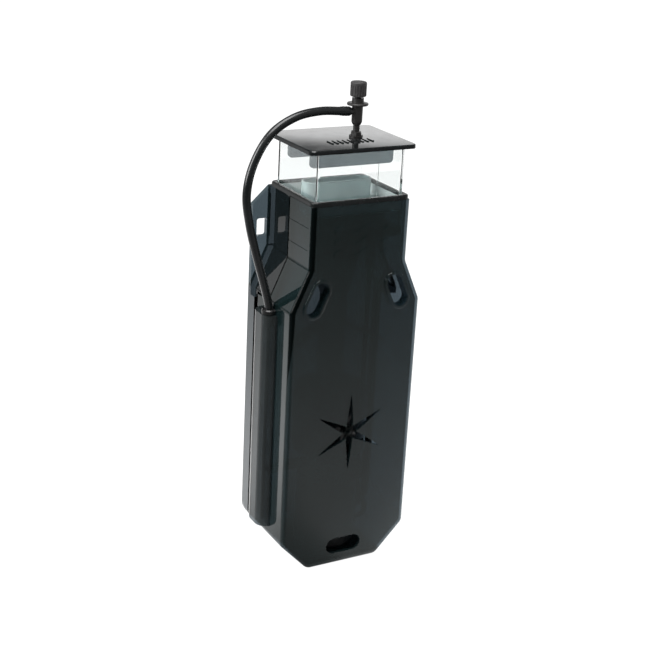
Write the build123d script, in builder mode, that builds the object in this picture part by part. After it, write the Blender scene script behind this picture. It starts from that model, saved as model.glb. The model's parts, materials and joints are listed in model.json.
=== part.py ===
from build123d import *
import math
import os

# Compact internal protein skimmer for a small marine aquarium: a two-shell body with a pump
# and reaction chamber inside, a collection cup with lid and air valve on top, and an air hose
# that runs down to a channel on the left side.
# Millimetres, +Z up, front face towards -Y, left towards -X.
# Origin: centre of the flat underside of the body.

os.makedirs("parts", exist_ok=True)

# --- body outline, seen from the front ---
BASE_HALF_W = 29.5       # flat underside
BODY_HALF_W = 52.5
NECK_HALF_W = 39.0
CHAMFER_H = 24.0         # lower corner chamfers
SHOULDER_Z0 = 207.0
SHOULDER_Z1 = 237.0
NECK_TOP = 282.0
WALL = 2.4
CORNER_R = 7.0           # outer corners of the outline
INNER_CORNER_R = 5.0
FIT_GAP = 0.1            # slip fit of the tongue in the front shell
TONGUE_WALL = 1.7

# --- body depth ---
FRONT_Y = -35.0
REAR_Y = 35.0
PANEL_Y = 31.0           # front plane of the rear panel
PANEL_MID_Y = (PANEL_Y + REAR_Y) / 2
SEAM_Y = 19.4            # rear edge of the front shell on the body
SEAM_GAP = 2.5           # shadow gap between the shells
NECK_SEAM_Y = 1.0        # rear edge of the front shell on the neck

# --- reach of the cuts through the shells ---
ABOVE_Z = 300
BESIDE_X = 80

# --- joint between neck and hanging wings ---
WING_JOINT_Z = 260.0

# --- front openings ---
SLOT_LEN, SLOT_W = 26.0, 12.0
SLOT_X, SLOT_Z = 32.4, 215.5
SLOT_TILT = math.degrees(math.atan2(BODY_HALF_W - NECK_HALF_W, SHOULDER_Z1 - SHOULDER_Z0))

# --- side air channel and hose socket ---
CHANNEL_R = 8.8
CHANNEL_Y0, CHANNEL_Y1 = -5.9, 2.2
CHANNEL_Z0, CHANNEL_Z1 = 31.5, 199.0
SOCKET_X, SOCKET_Y = -55.6, -6.5
SOCKET_DEPTH = 9
AIR_PORT_Y = SOCKET_Y + 5.5
AIR_PORT_Z = 73.0        # also the height of the venturi tee

# --- cup, riser and lid ---
CUP_HALF_W, CUP_HALF_D = 34.5, 30.5
CUP_BOTTOM = 262.0
CUP_TOP = 318.3
RISER_W, RISER_D = 53.0, 15.0
RISER_Y = 3.5
RISER_WALL = 1.6
RISER_BORE_W = RISER_W - 2 * RISER_WALL
RISER_BORE_D = RISER_D - 2 * RISER_WALL
LID_TOP = 321.3

# --- air valve ---
VALVE_X, VALVE_Y = 10.5, -1.5
STEM_R = 2.3
STEM_HOLE_R = 2.35
BARB_Z = 340.0
NEEDLE_TOP = 359.0

# --- pump and reaction chamber ---
PUMP_X, PUMP_Y = 2.0, 0.0
MOTOR_R = 23.0
MOTOR_Z0, MOTOR_Z1 = 5.5, 44.0
COVER_Z = MOTOR_Z1 + 16  # underside of the volute's cover
COVER_T = 2.4
WELL_R = 7.6             # rotor well
SHAFT_R = 1.5
SHAFT_HOLE_R = SHAFT_R + 0.06
SHAFT_Z0 = 11
BUSH_R = 2.4             # upper bush
INTAKE_R = 6.0
OUTLET_DX = 15.5         # outlet pipe, to the right of the pump axis
CHAMBER_Z0 = 84.0

# --- power cord ---
CORD_X, CORD_Y = 44.6, 25.0
CORD_ENTRY_Z = 16
CORD_R = 2.0


def facing_up(z, x=0, y=0):
    """Sketch plane at height z, its axes along +X and +Y."""
    return Plane(origin=(x, y, z), x_dir=(1, 0, 0), z_dir=(0, 0, 1))


def facing_front(y, x=0, z=0):
    """Sketch plane at depth y facing -Y, its axes along +X and +Z."""
    return Plane(origin=(x, y, z), x_dir=(1, 0, 0), z_dir=(0, -1, 0))


def facing_right(x, y=0, z=0):
    """Sketch plane at x facing +X, its axes along +Y and +Z."""
    return Plane(origin=(x, y, z), x_dir=(0, 1, 0), z_dir=(1, 0, 0))


def over_pump(z, dx=0):
    """Horizontal plane centred on the pump axis, or dx to its right."""
    return facing_up(z, PUMP_X + dx, PUMP_Y)


def over_valve(z):
    """Horizontal plane centred on the valve axis."""
    return facing_up(z, VALVE_X, VALVE_Y)


def outline(base, body, neck, chamfer, shoulder_z0, shoulder_z1, top, bottom=0.0):
    """Corner points (x, z) of the body outline from its half widths and heights."""
    right = [(base, bottom), (body, chamfer), (body, shoulder_z0), (neck, shoulder_z1), (neck, top)]
    return right + [(-x, z) for x, z in reversed(right)]


def outer_outline(top):
    return outline(BASE_HALF_W, BODY_HALF_W, NECK_HALF_W, CHAMFER_H, SHOULDER_Z0, SHOULDER_Z1, top)


def inset_outline(inset, top):
    """Body outline moved inwards, with true wall thickness all round."""
    chamfer_w = BODY_HALF_W - BASE_HALF_W
    chamfer_len = math.hypot(chamfer_w, CHAMFER_H)
    shoulder_w = BODY_HALF_W - NECK_HALF_W
    shoulder_h = SHOULDER_Z1 - SHOULDER_Z0
    shoulder_len = math.hypot(shoulder_w, shoulder_h)
    base_shift = inset * (chamfer_len - CHAMFER_H) / chamfer_w
    chamfer_rise = inset * (chamfer_len - chamfer_w) / CHAMFER_H
    shoulder_drop = inset * (shoulder_len - shoulder_h) / shoulder_w
    return outline(BASE_HALF_W - base_shift, BODY_HALF_W - inset, NECK_HALF_W - inset,
                   CHAMFER_H + chamfer_rise, SHOULDER_Z0 - shoulder_drop,
                   SHOULDER_Z1 - shoulder_drop, top, inset)


def placed(part, x, y):
    """Copy of a part, built round the Z axis, moved to x, y."""
    with BuildPart() as moved:
        with Locations((x, y, 0)):
            add(part)
    return moved


def save(piece, name):
    piece.part.label = name
    export_step(piece.part, f"parts/{name}.step")


# ===========================================================================
# Shells
# ===========================================================================
def shoulder_slot(side, margin=0.0, mode=Mode.ADD):
    """Tilted slot outline on one shoulder, enlarged by margin; side is 1 right, -1 left."""
    with Locations(Location((side * SLOT_X, SLOT_Z, 0), (0, 0, 90 + side * SLOT_TILT))):
        SlotOverall(SLOT_LEN + margin, SLOT_W + margin, mode=mode)


def build_front_shell():
    """Smoked cover with the front face, sides and floor."""
    face_edge_r = 3.4
    clear = 4                                # cuts start this far in front of the face
    slot_cut = 12
    rim_sunk, rim_h, rim_margin, rim_edge_r = 1.2, 2.2, 4.4, 0.85
    tunnel_sunk, tunnel_len, tunnel_margin = 0.2, 5.0, 3.0
    vent_z = 108.5
    vent_slots = 6
    hub_r, hub_depth, hub_recess_r, hub_recess_depth = 3.4, 3.3, 6.0, 1.2
    # half of one vent slot: (distance from the hub's centre, half width)
    vent_profile = [(3.4, 1.15), (5.6, 2.35), (6.6, 2.75), (12.0, 2.15), (29.0, 0.3)]
    drain_len, drain_h, drain_z = 29.0, 12.6, 15.5
    wave_quarter, wave_rise, wave_t = 5.25, 2.2, 2.4
    wave_sunk, wave_relief = 0.3, 0.9
    port_r = 3.0

    with BuildPart() as shell:
        with BuildSketch(facing_front(SEAM_Y)):
            with BuildLine():
                Polyline(*outer_outline(NECK_TOP + 12), close=True)
            make_face()
        extrude(amount=SEAM_Y - FRONT_Y)
        depth_edges = shell.edges().filter_by(Axis.Y)
        fillet([e for e in depth_edges if e.center().Z < NECK_TOP], CORNER_R)
        fillet(shell.faces().sort_by(Axis.Y)[0].edges(), face_edge_r)

        # hollow, open to the rear
        with BuildSketch(facing_front(SEAM_Y + 1)) as cavity:
            with BuildLine():
                Polyline(*inset_outline(WALL, NECK_TOP + 14), close=True)
            make_face()
            fillet([p for p in cavity.vertices() if p.Y < NECK_TOP], INNER_CORNER_R)
        extrude(amount=SEAM_Y + 1 - FRONT_Y - WALL, mode=Mode.SUBTRACT)

        # cut level at the top rim
        with BuildSketch(facing_up(NECK_TOP)):
            Rectangle(200, 200)
        extrude(amount=30, mode=Mode.SUBTRACT)

        # the seam runs forward over the shoulders to the neck
        seam_z, behind_y = SHOULDER_Z0 - 2, 60
        with BuildSketch(Plane.YZ):
            with BuildLine():
                Polyline((NECK_SEAM_Y, ABOVE_Z), (NECK_SEAM_Y, SHOULDER_Z0 - 0.5),
                         (SEAM_Y, seam_z), (behind_y, seam_z), (behind_y, ABOVE_Z), close=True)
            make_face()
        extrude(amount=BESIDE_X, both=True, mode=Mode.SUBTRACT)

        # raised rims round the shoulder slots
        for side in (1, -1):
            with BuildSketch(facing_front(FRONT_Y + rim_sunk)):
                shoulder_slot(side, rim_margin)
            extrude(amount=rim_h)
        rims = shell.faces().sort_by(Axis.Y)[0:2]
        fillet([e for rim in rims for e in rim.edges()], rim_edge_r)

        for side in (1, -1):
            with BuildSketch(facing_front(FRONT_Y - clear)):
                shoulder_slot(side)
            extrude(amount=-slot_cut, mode=Mode.SUBTRACT)
            # guide tunnel behind each slot
            with BuildSketch(facing_front(FRONT_Y + WALL - tunnel_sunk)):
                shoulder_slot(side, tunnel_margin)
                shoulder_slot(side, mode=Mode.SUBTRACT)
            extrude(amount=-tunnel_len)

        # radial intake vent: tapered slots that meet round a sunken hub
        with BuildSketch(facing_front(FRONT_Y - clear, z=vent_z)):
            Circle(hub_recess_r)
        extrude(amount=-(clear + hub_recess_depth), mode=Mode.SUBTRACT)
        with BuildSketch(facing_front(FRONT_Y - clear)):
            for k in range(vent_slots):
                angle = math.radians(90 + 360 / vent_slots * k)
                cos, sin = math.cos(angle), math.sin(angle)
                loop = vent_profile + [(r, -half) for r, half in reversed(vent_profile)]
                points = [(cos * r - sin * half, vent_z + sin * r + cos * half)
                          for r, half in loop]
                with BuildLine():
                    Polyline(*points, close=True)
                make_face()
        extrude(amount=-10, mode=Mode.SUBTRACT)
        # round hub held by the thin webs between the slots
        with Locations((0, FRONT_Y + hub_depth, vent_z)):
            Sphere(hub_r)

        # lower drain slot
        with BuildSketch(facing_front(FRONT_Y - clear, z=drain_z)):
            SlotOverall(drain_len, drain_h)
        extrude(amount=-slot_cut, mode=Mode.SUBTRACT)

        # relief of three waves, two periods each, on the neck
        for wave_z in (265.0, 256.5, 248.0):
            crest = [(wave_quarter * (k - 4), wave_z + wave_rise * (0, 1, 0, -1)[k % 4])
                     for k in range(9)]
            trough = [(x, z - wave_t) for x, z in reversed(crest)]
            with BuildSketch(facing_front(FRONT_Y + wave_sunk)):
                with BuildLine():
                    Spline(*crest)
                    Line(crest[-1], trough[0])
                    Spline(*trough)
                    Line(trough[-1], crest[0])
                make_face()
            extrude(amount=wave_relief)

        # fine level lines on both neck sides
        for line_z in (250.6, 266.5):
            for side in (1, -1):
                with Locations((side * NECK_HALF_W, -14.0, line_z)):
                    Box(0.8, 30.0, 0.9, mode=Mode.SUBTRACT)

        # air port through the left side wall
        with BuildSketch(facing_right(-BODY_HALF_W - 5, AIR_PORT_Y, AIR_PORT_Z)):
            Circle(port_r)
        extrude(amount=12, mode=Mode.SUBTRACT)
    save(shell, "front_shell")


def build_rear_shell_and_neck():
    """Back panel with side band and inner tongue; its neck is a bonded piece of its own."""
    panel_corner_r = 14.0
    groove_depth, groove_w, groove_h = 1.2, 1.7, 32.2
    tongue_outer = WALL + FIT_GAP
    tongue_inner = tongue_outer + TONGUE_WALL
    tongue_front_y = -6
    band_top = SHOULDER_Z0 - 6

    with BuildPart() as shell:
        # panel
        with BuildSketch(facing_front(PANEL_Y)) as panel:
            with BuildLine():
                Polyline(*outer_outline(NECK_TOP), close=True)
            make_face()
            fillet([p for p in panel.vertices() if p.Y < CHAMFER_H + 1], panel_corner_r)
        extrude(amount=-(REAR_Y - PANEL_Y))
        # grooves for the hanging wings
        for side in (1, -1):
            with Locations((side * NECK_HALF_W, PANEL_MID_Y, WING_JOINT_Z)):
                Box(2 * groove_depth, groove_w, groove_h, mode=Mode.SUBTRACT)

        # flush band behind the seam, cut off below the shoulders
        with BuildSketch(facing_front(PANEL_Y)) as band:
            with BuildLine():
                Polyline(*outer_outline(NECK_TOP), close=True)
            make_face()
            fillet([p for p in band.vertices() if p.Y < NECK_TOP - 1], CORNER_R)
            with BuildLine():
                Polyline(*inset_outline(tongue_inner, NECK_TOP + 1), close=True)
            make_face(mode=Mode.SUBTRACT)
        extrude(amount=PANEL_Y - SEAM_Y - SEAM_GAP)
        with BuildSketch(Plane.YZ):
            with BuildLine():
                Polyline((0, ABOVE_Z), (0, band_top), (PANEL_Y, band_top), (PANEL_Y, ABOVE_Z),
                         close=True)
            make_face()
        extrude(amount=BESIDE_X, both=True, mode=Mode.SUBTRACT)

        # tongue that slides inside the front shell, trimmed back on the body
        with BuildSketch(facing_front(PANEL_Y)) as tongue:
            with BuildLine():
                Polyline(*inset_outline(tongue_outer, NECK_TOP), close=True)
            make_face()
            fillet([p for p in tongue.vertices() if p.Y < NECK_TOP - 1], INNER_CORNER_R)
            with BuildLine():
                Polyline(*inset_outline(tongue_inner, NECK_TOP + 1), close=True)
            make_face(mode=Mode.SUBTRACT)
        extrude(amount=PANEL_Y - tongue_front_y)
        with BuildSketch(Plane.YZ):
            with BuildLine():
                Polyline((-40, -5), (15, -5), (15, SHOULDER_Z0 - 11),
                         (tongue_front_y, SHOULDER_Z0 - 5), (tongue_front_y, ABOVE_Z),
                         (-40, ABOVE_Z), close=True)
            make_face()
        extrude(amount=BESIDE_X, both=True, mode=Mode.SUBTRACT)

        # way out for the cord in the right shoulder
        with BuildSketch(facing_up(190, CORD_X, CORD_Y)):
            Circle(4.0)
        extrude(amount=44, mode=Mode.SUBTRACT)

    # divided where the shoulders end
    with BuildPart() as neck:
        add(shell.part)
        split(bisect_by=facing_up(SHOULDER_Z1), keep=Keep.TOP)
    save(neck, "rear_neck")
    with shell:
        split(bisect_by=facing_up(SHOULDER_Z1), keep=Keep.BOTTOM)
    save(shell, "rear_shell")


def build_hanging_wing(side, side_name):
    """Flat plate beside the neck, tongued into the back panel."""
    outer_top = 269.4
    outer_corner_r = 2.5
    window_x, window_z = 45.1, 251.6
    window_w, window_h, window_r = 8.0, 13.2, 1.8
    inner_x = NECK_HALF_W + 0.06
    tongue_w, tongue_d, tongue_h, tongue_inset = 1.66, 1.6, 32.0, 0.27

    with BuildPart() as wing:
        with BuildSketch(facing_front(PANEL_Y)) as plate:
            with BuildLine():
                Polyline((side * inner_x, SHOULDER_Z1 + 0.05), (side * inner_x, NECK_TOP - 0.06),
                         (side * BODY_HALF_W, outer_top),
                         (side * BODY_HALF_W, SHOULDER_Z0 + 0.15), close=True)
            make_face()
            fillet([p for p in plate.vertices() if outer_top - 1 < p.Y < outer_top + 1],
                   outer_corner_r)
            with Locations((side * window_x, window_z)):
                RectangleRounded(window_w, window_h, window_r, mode=Mode.SUBTRACT)
        extrude(amount=-(REAR_Y - PANEL_Y))
        with Locations((side * (NECK_HALF_W - tongue_inset), PANEL_MID_Y, WING_JOINT_Z)):
            Box(tongue_w, tongue_d, tongue_h)
    save(wing, "hang_wing_" + side_name)


def build_hanging_wings():
    build_hanging_wing(-1, "left")
    build_hanging_wing(1, "right")


# ===========================================================================
# Air channel and hose socket on the left side
# ===========================================================================
def build_air_channel():
    wall_x = -BODY_HALF_W
    outer_x = wall_x - CHANNEL_R
    front_y, rear_y = CHANNEL_Y0 - CHANNEL_R, CHANNEL_Y1 + CHANNEL_R
    bore_r, seat_r = 1.6, 4.0
    nipple_r, nipple_len, nipple_bore_r = 2.9, 9.0, 1.5

    with BuildPart() as channel:
        with BuildSketch(facing_up(CHANNEL_Z0)):
            with BuildLine():
                Line((wall_x, front_y), (wall_x, rear_y))
                RadiusArc((wall_x, rear_y), (outer_x, CHANNEL_Y1), -CHANNEL_R)
                Line((outer_x, CHANNEL_Y1), (outer_x, CHANNEL_Y0))
                RadiusArc((outer_x, CHANNEL_Y0), (wall_x, front_y), -CHANNEL_R)
            make_face()
        extrude(amount=CHANNEL_Z1 - CHANNEL_Z0)
        fillet(channel.faces().sort_by(Axis.Z)[0].edges().filter_by(GeomType.CIRCLE), 1.2)
        # bore for the air
        with BuildSketch(facing_up(CHANNEL_Z0 + 4, SOCKET_X, SOCKET_Y)):
            Circle(bore_r)
        extrude(amount=200, mode=Mode.SUBTRACT)
        # seat of the rubber socket, clear of the body wall
        with BuildSketch(facing_up(CHANNEL_Z1 - SOCKET_DEPTH)):
            with Locations((SOCKET_X, SOCKET_Y)):
                Circle(seat_r)
            with Locations((wall_x + 2, SOCKET_Y)):
                Rectangle(4, 20, mode=Mode.SUBTRACT)
        extrude(amount=12, mode=Mode.SUBTRACT)
        # open notch behind the socket
        with BuildSketch(facing_up(CHANNEL_Z1 - 5.5, wall_x - 2.8, 4.2)):
            RectangleRounded(4.0, 8.0, 1.2)
        extrude(amount=12, mode=Mode.SUBTRACT)
        # nipple through the side wall, and its bore
        with BuildSketch(facing_right(wall_x, AIR_PORT_Y, AIR_PORT_Z)):
            Circle(nipple_r)
        extrude(amount=nipple_len)
        with BuildSketch(facing_right(SOCKET_X, AIR_PORT_Y, AIR_PORT_Z)):
            Circle(nipple_bore_r)
        extrude(amount=20.0, mode=Mode.SUBTRACT)
        # passage between the two bores
        with Locations((SOCKET_X, SOCKET_Y + 2.6, AIR_PORT_Z)):
            Box(2.6, 6.5, 3.0, mode=Mode.SUBTRACT)
    save(channel, "air_channel")


def build_hose_socket():
    """Rubber socket that receives the hose, trimmed flat beside the body wall."""
    # (radius, height above the channel's top)
    profile = [(2.2, -SOCKET_DEPTH), (3.9, -SOCKET_DEPTH), (3.9, 0.05), (5.5, 0.5), (5.5, 3.0),
               (4.7, 3.8), (3.15, 3.8), (3.15, -5.0), (2.2, -5.0)]
    trim_w = 7.0
    wall_gap = 0.05

    with BuildPart() as turned:
        with BuildSketch(Plane.XZ):
            with BuildLine():
                Polyline(*[(r, CHANNEL_Z1 + z) for r, z in profile], close=True)
            make_face()
        revolve(axis=Axis.Z)
    with BuildPart() as socket:
        with Locations((SOCKET_X, SOCKET_Y, 0)):
            add(turned.part)
        with Locations((-BODY_HALF_W - wall_gap + trim_w / 2, SOCKET_Y, CHANNEL_Z1 - 0.5)):
            Box(trim_w, 14, 20, mode=Mode.SUBTRACT)
    save(socket, "hose_socket")


# ===========================================================================
# Seal, cup, riser and lid
# ===========================================================================
def build_rim_seal():
    """Seal on top of the neck."""
    with BuildPart() as seal:
        with BuildSketch(facing_up(NECK_TOP)):
            with Locations((0, -0.4)):
                RectangleRounded(77.4, 68.4, 5.0)
            RectangleRounded(2 * CUP_HALF_W + 0.5, 2 * CUP_HALF_D + 0.4, 2.4, mode=Mode.SUBTRACT)
        extrude(amount=3.4)
        fillet(seal.faces().sort_by(Axis.Z)[-1].edges(), 1.15)
    save(seal, "rim_seal")


def build_collection_cup():
    cup_wall = 1.9
    inner_w, inner_d = 2 * (CUP_HALF_W - cup_wall), 2 * (CUP_HALF_D - cup_wall)
    outer_r, inner_r = 2.0, 0.9
    floor_top, floor_t = 275.0, 2.2
    rib_w, rib_d, rib_y, rib_top = 1.4, 1.2, 2.2, 316.0

    with BuildPart() as cup:
        with BuildSketch(facing_up(CUP_BOTTOM)):
            RectangleRounded(2 * CUP_HALF_W, 2 * CUP_HALF_D, outer_r)
        extrude(amount=CUP_TOP - CUP_BOTTOM)
        # hollow above and below the floor
        with BuildSketch(facing_up(floor_top)):
            RectangleRounded(inner_w, inner_d, inner_r)
        extrude(amount=60, mode=Mode.SUBTRACT)
        with BuildSketch(facing_up(floor_top - floor_t)):
            RectangleRounded(inner_w, inner_d, inner_r)
        extrude(amount=-30, mode=Mode.SUBTRACT)
        # hole for the riser
        with BuildSketch(facing_up(CUP_BOTTOM - 1, y=RISER_Y)):
            SlotOverall(RISER_W, RISER_D)
        extrude(amount=20, mode=Mode.SUBTRACT)
        fillet(cup.faces().sort_by(Axis.Z)[-1].edges(), 0.35)
        # slim stiffening rib inside the right wall
        with Locations((CUP_HALF_W - cup_wall - 0.5, rib_y, (floor_top + rib_top) / 2)):
            Box(rib_w, rib_d, rib_top - floor_top)
    save(cup, "collection_cup")


def build_riser_tube():
    """Tube that carries the foam up into the cup."""
    bottom, top = 266.0, 291.0
    with BuildPart() as riser:
        with BuildSketch(facing_up(bottom, y=RISER_Y)):
            SlotOverall(RISER_W, RISER_D)
            SlotOverall(RISER_BORE_W, RISER_BORE_D, mode=Mode.SUBTRACT)
        extrude(amount=top - bottom)
        fillet(riser.faces().sort_by(Axis.Z)[-1].edges(), 0.6)
    save(riser, "riser_tube")


def build_lid():
    """Lid with two guide tabs and a row of grip ribs."""
    half_w, half_d, corner_r = 41.8, 34.2, 4.0
    tab_y, tab_half_w, tab_t, tab_corner_r = 16.5, 32.2, 2.0, 3.0
    tab_bottom, tab_top = 305.3, CUP_TOP + 0.5
    rib_count, rib_pitch, rib_y = 9, 4.0, -12.5
    rib_len, rib_w, rib_h, rib_sunk = 9.0, 1.5, 0.9, 0.2

    with BuildPart() as lid:
        with BuildSketch(facing_up(CUP_TOP)):
            RectangleRounded(2 * half_w, 2 * half_d, corner_r)
        extrude(amount=LID_TOP - CUP_TOP)
        chamfer(lid.faces().sort_by(Axis.Z)[-1].edges(), 0.6)
        for side in (1, -1):
            with BuildSketch(facing_front(side * tab_y + tab_t / 2)) as tab:
                with Locations((0, (tab_top + tab_bottom) / 2)):
                    Rectangle(2 * tab_half_w, tab_top - tab_bottom)
                fillet(tab.vertices().sort_by(Axis.Y)[0:2], tab_corner_r)
            extrude(amount=tab_t)
        # grip ribs
        with BuildSketch(facing_up(LID_TOP - rib_sunk)):
            with Locations(*[(rib_pitch * (k - (rib_count - 1) / 2), rib_y)
                             for k in range(rib_count)]):
                SlotOverall(rib_len, rib_w, rotation=90)
        extrude(amount=rib_h)
        # hole for the valve stem
        with BuildSketch(over_valve(CUP_TOP - 1)):
            Circle(STEM_HOLE_R)
        extrude(amount=10, mode=Mode.SUBTRACT)
    save(lid, "lid")


# ===========================================================================
# Air valve on the lid
# ===========================================================================
def build_valve_nut():
    """Hexagon nut with a round flange."""
    flange_r, flange_t = 4.9, 1.4
    hexagon_r, hexagon_h = 4.2, 2.8
    with BuildPart() as nut:
        with BuildSketch(over_valve(LID_TOP)):
            Circle(flange_r)
        extrude(amount=flange_t)
        with BuildSketch(over_valve(LID_TOP + flange_t)):
            RegularPolygon(hexagon_r, 6)
        extrude(amount=hexagon_h)
        chamfer(nut.faces().sort_by(Axis.Z)[-1].edges(), 0.5)
        with BuildSketch(over_valve(LID_TOP - 1)):
            Circle(STEM_HOLE_R)
        extrude(amount=10, mode=Mode.SUBTRACT)
    save(nut, "valve_nut")


def build_valve_washer():
    """Clip washer under the lid that the stem snaps into."""
    thickness = 2.0
    with BuildPart() as washer:
        with BuildSketch(over_valve(CUP_TOP - thickness)):
            Circle(5.0)
            Circle(STEM_R, mode=Mode.SUBTRACT)
        extrude(amount=thickness)
        chamfer(washer.faces().sort_by(Axis.Z)[0].edges(), 0.3)
    save(washer, "valve_washer")


def build_valve_body():
    """Stem and collared body with a side barb for the hose, pointing left."""
    # (radius, z), from the foot of the stem up the outside and down the bore
    body_profile = [
        (1.2, 313.0), (STEM_R, 313.0), (STEM_R, 329.9), (3.0, 330.6),
        (3.8, 332.4), (3.9, 344.0), (7.4, 344.2), (7.6, 344.7), (7.6, 345.3),
        (7.3, 345.7), (4.2, 346.0), (4.2, 349.2), (2.55, 349.2),
        (2.55, 336.5), (1.2, 333.6),
    ]
    # (x from the valve axis, radius)
    barb_profile = [
        (-3.2, 0), (-3.2, 2.4), (-5.6, 2.4), (-5.6, 1.7), (-8.0, 1.7), (-8.0, 2.15),
        (-10.2, 1.7), (-10.2, 2.15), (-12.6, 1.6), (-12.6, 0),
    ]
    barb_bore_r = 0.9

    with BuildPart() as body:
        with BuildSketch(Plane.XZ):
            with BuildLine():
                Polyline(*body_profile, close=True)
            make_face()
        revolve(axis=Axis.Z)
        with BuildSketch(Plane.XZ):
            with BuildLine():
                Polyline(*[(x, BARB_Z + r) for x, r in barb_profile], close=True)
            make_face()
        revolve(axis=Axis((0, 0, BARB_Z), (1, 0, 0)))
        with BuildSketch(facing_right(-14, z=BARB_Z)):
            Circle(barb_bore_r)
        extrude(amount=12.5, mode=Mode.SUBTRACT)
    save(placed(body.part, VALVE_X, VALVE_Y), "valve_body")


def build_valve_needle():
    # (radius, z), with a groove for the O-ring
    profile = [
        (0, 334.9), (0.95, 335.1), (1.7, 338.6), (1.7, 342.4), (2.5, 342.4), (2.5, 343.4),
        (1.75, 343.4), (1.75, 344.9), (2.5, 344.9), (2.5, 348.4), (2.0, 348.4),
        (2.0, 358.6), (1.6, NEEDLE_TOP), (0, NEEDLE_TOP),
    ]
    with BuildPart() as needle:
        with BuildSketch(Plane.XZ):
            with BuildLine():
                Polyline(*profile, close=True)
            make_face()
        revolve(axis=Axis.Z)
    save(placed(needle.part, VALVE_X, VALVE_Y), "valve_needle")


def build_valve_o_ring():
    ring_r, section_r, ring_z = 2.14, 0.36, 344.15
    with BuildPart() as ring:
        with BuildSketch(Plane.XZ):
            with Locations((ring_r, ring_z)):
                Circle(section_r)
        revolve(axis=Axis.Z)
    save(placed(ring.part, VALVE_X, VALVE_Y), "valve_o_ring")


def build_valve_knob():
    bottom, top = 350.4, 360.6
    knob_r = 5.75
    flute_count, flute_ring_r, flute_r, flute_top = 18, 5.95, 0.55, 358.0
    bore_r, bore_gap = 2.05, 0.05

    with BuildPart() as knob:
        with BuildSketch(over_valve(bottom)):
            Circle(knob_r)
        extrude(amount=top - bottom)
        fillet(knob.faces().sort_by(Axis.Z)[-1].edges(), 1.1)
        chamfer(knob.faces().sort_by(Axis.Z)[0].edges(), 0.5)
        # fluted grip
        with BuildSketch(over_valve(bottom - 1)):
            with PolarLocations(flute_ring_r, flute_count):
                Circle(flute_r)
        extrude(amount=flute_top - bottom + 1, mode=Mode.SUBTRACT)
        # blind bore for the needle
        with BuildSketch(over_valve(bottom - 1)):
            Circle(bore_r)
        extrude(amount=NEEDLE_TOP + bore_gap - bottom + 1, mode=Mode.SUBTRACT)
        # pointer notch on top
        with BuildSketch(facing_up(top, VALVE_X + 3.0, VALVE_Y)):
            SlotOverall(3.0, 0.9)
        extrude(amount=-0.4, mode=Mode.SUBTRACT)
    save(knob, "valve_knob")


def build_air_hose():
    """Hose from the valve barb down to the side socket."""
    outer_r, bore_r = 3.0, 2.35
    # (x, y, z) along the centre line
    stations = [
        (4.6, -1.5, 340.0), (-4.0, -1.6, 340.6), (-19.5, -2.3, 341.4), (-38.8, -3.2, 338.4),
        (-57.5, -4.3, 328.0), (-70.5, -5.3, 308.5), (-75.6, -6.2, 287.4), (-73.0, -6.8, 266.0),
        (-67.2, -7.0, 243.6), (-61.2, -6.9, 223.8), (SOCKET_X, SOCKET_Y, 203.5),
    ]
    with BuildPart() as hose:
        with BuildLine() as path:
            curve = Spline(*stations, tangents=[(-1, 0, 0.02), (0.0, 0, -1)])
            Line(curve @ 1, (SOCKET_X, SOCKET_Y, CHANNEL_Z1 - 4.0))
        with BuildSketch(Plane(origin=curve @ 0, z_dir=curve % 0)):
            Circle(outer_r)
            Circle(bore_r, mode=Mode.SUBTRACT)
        sweep(path=path.wires()[0])
    save(hose, "air_hose")


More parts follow.
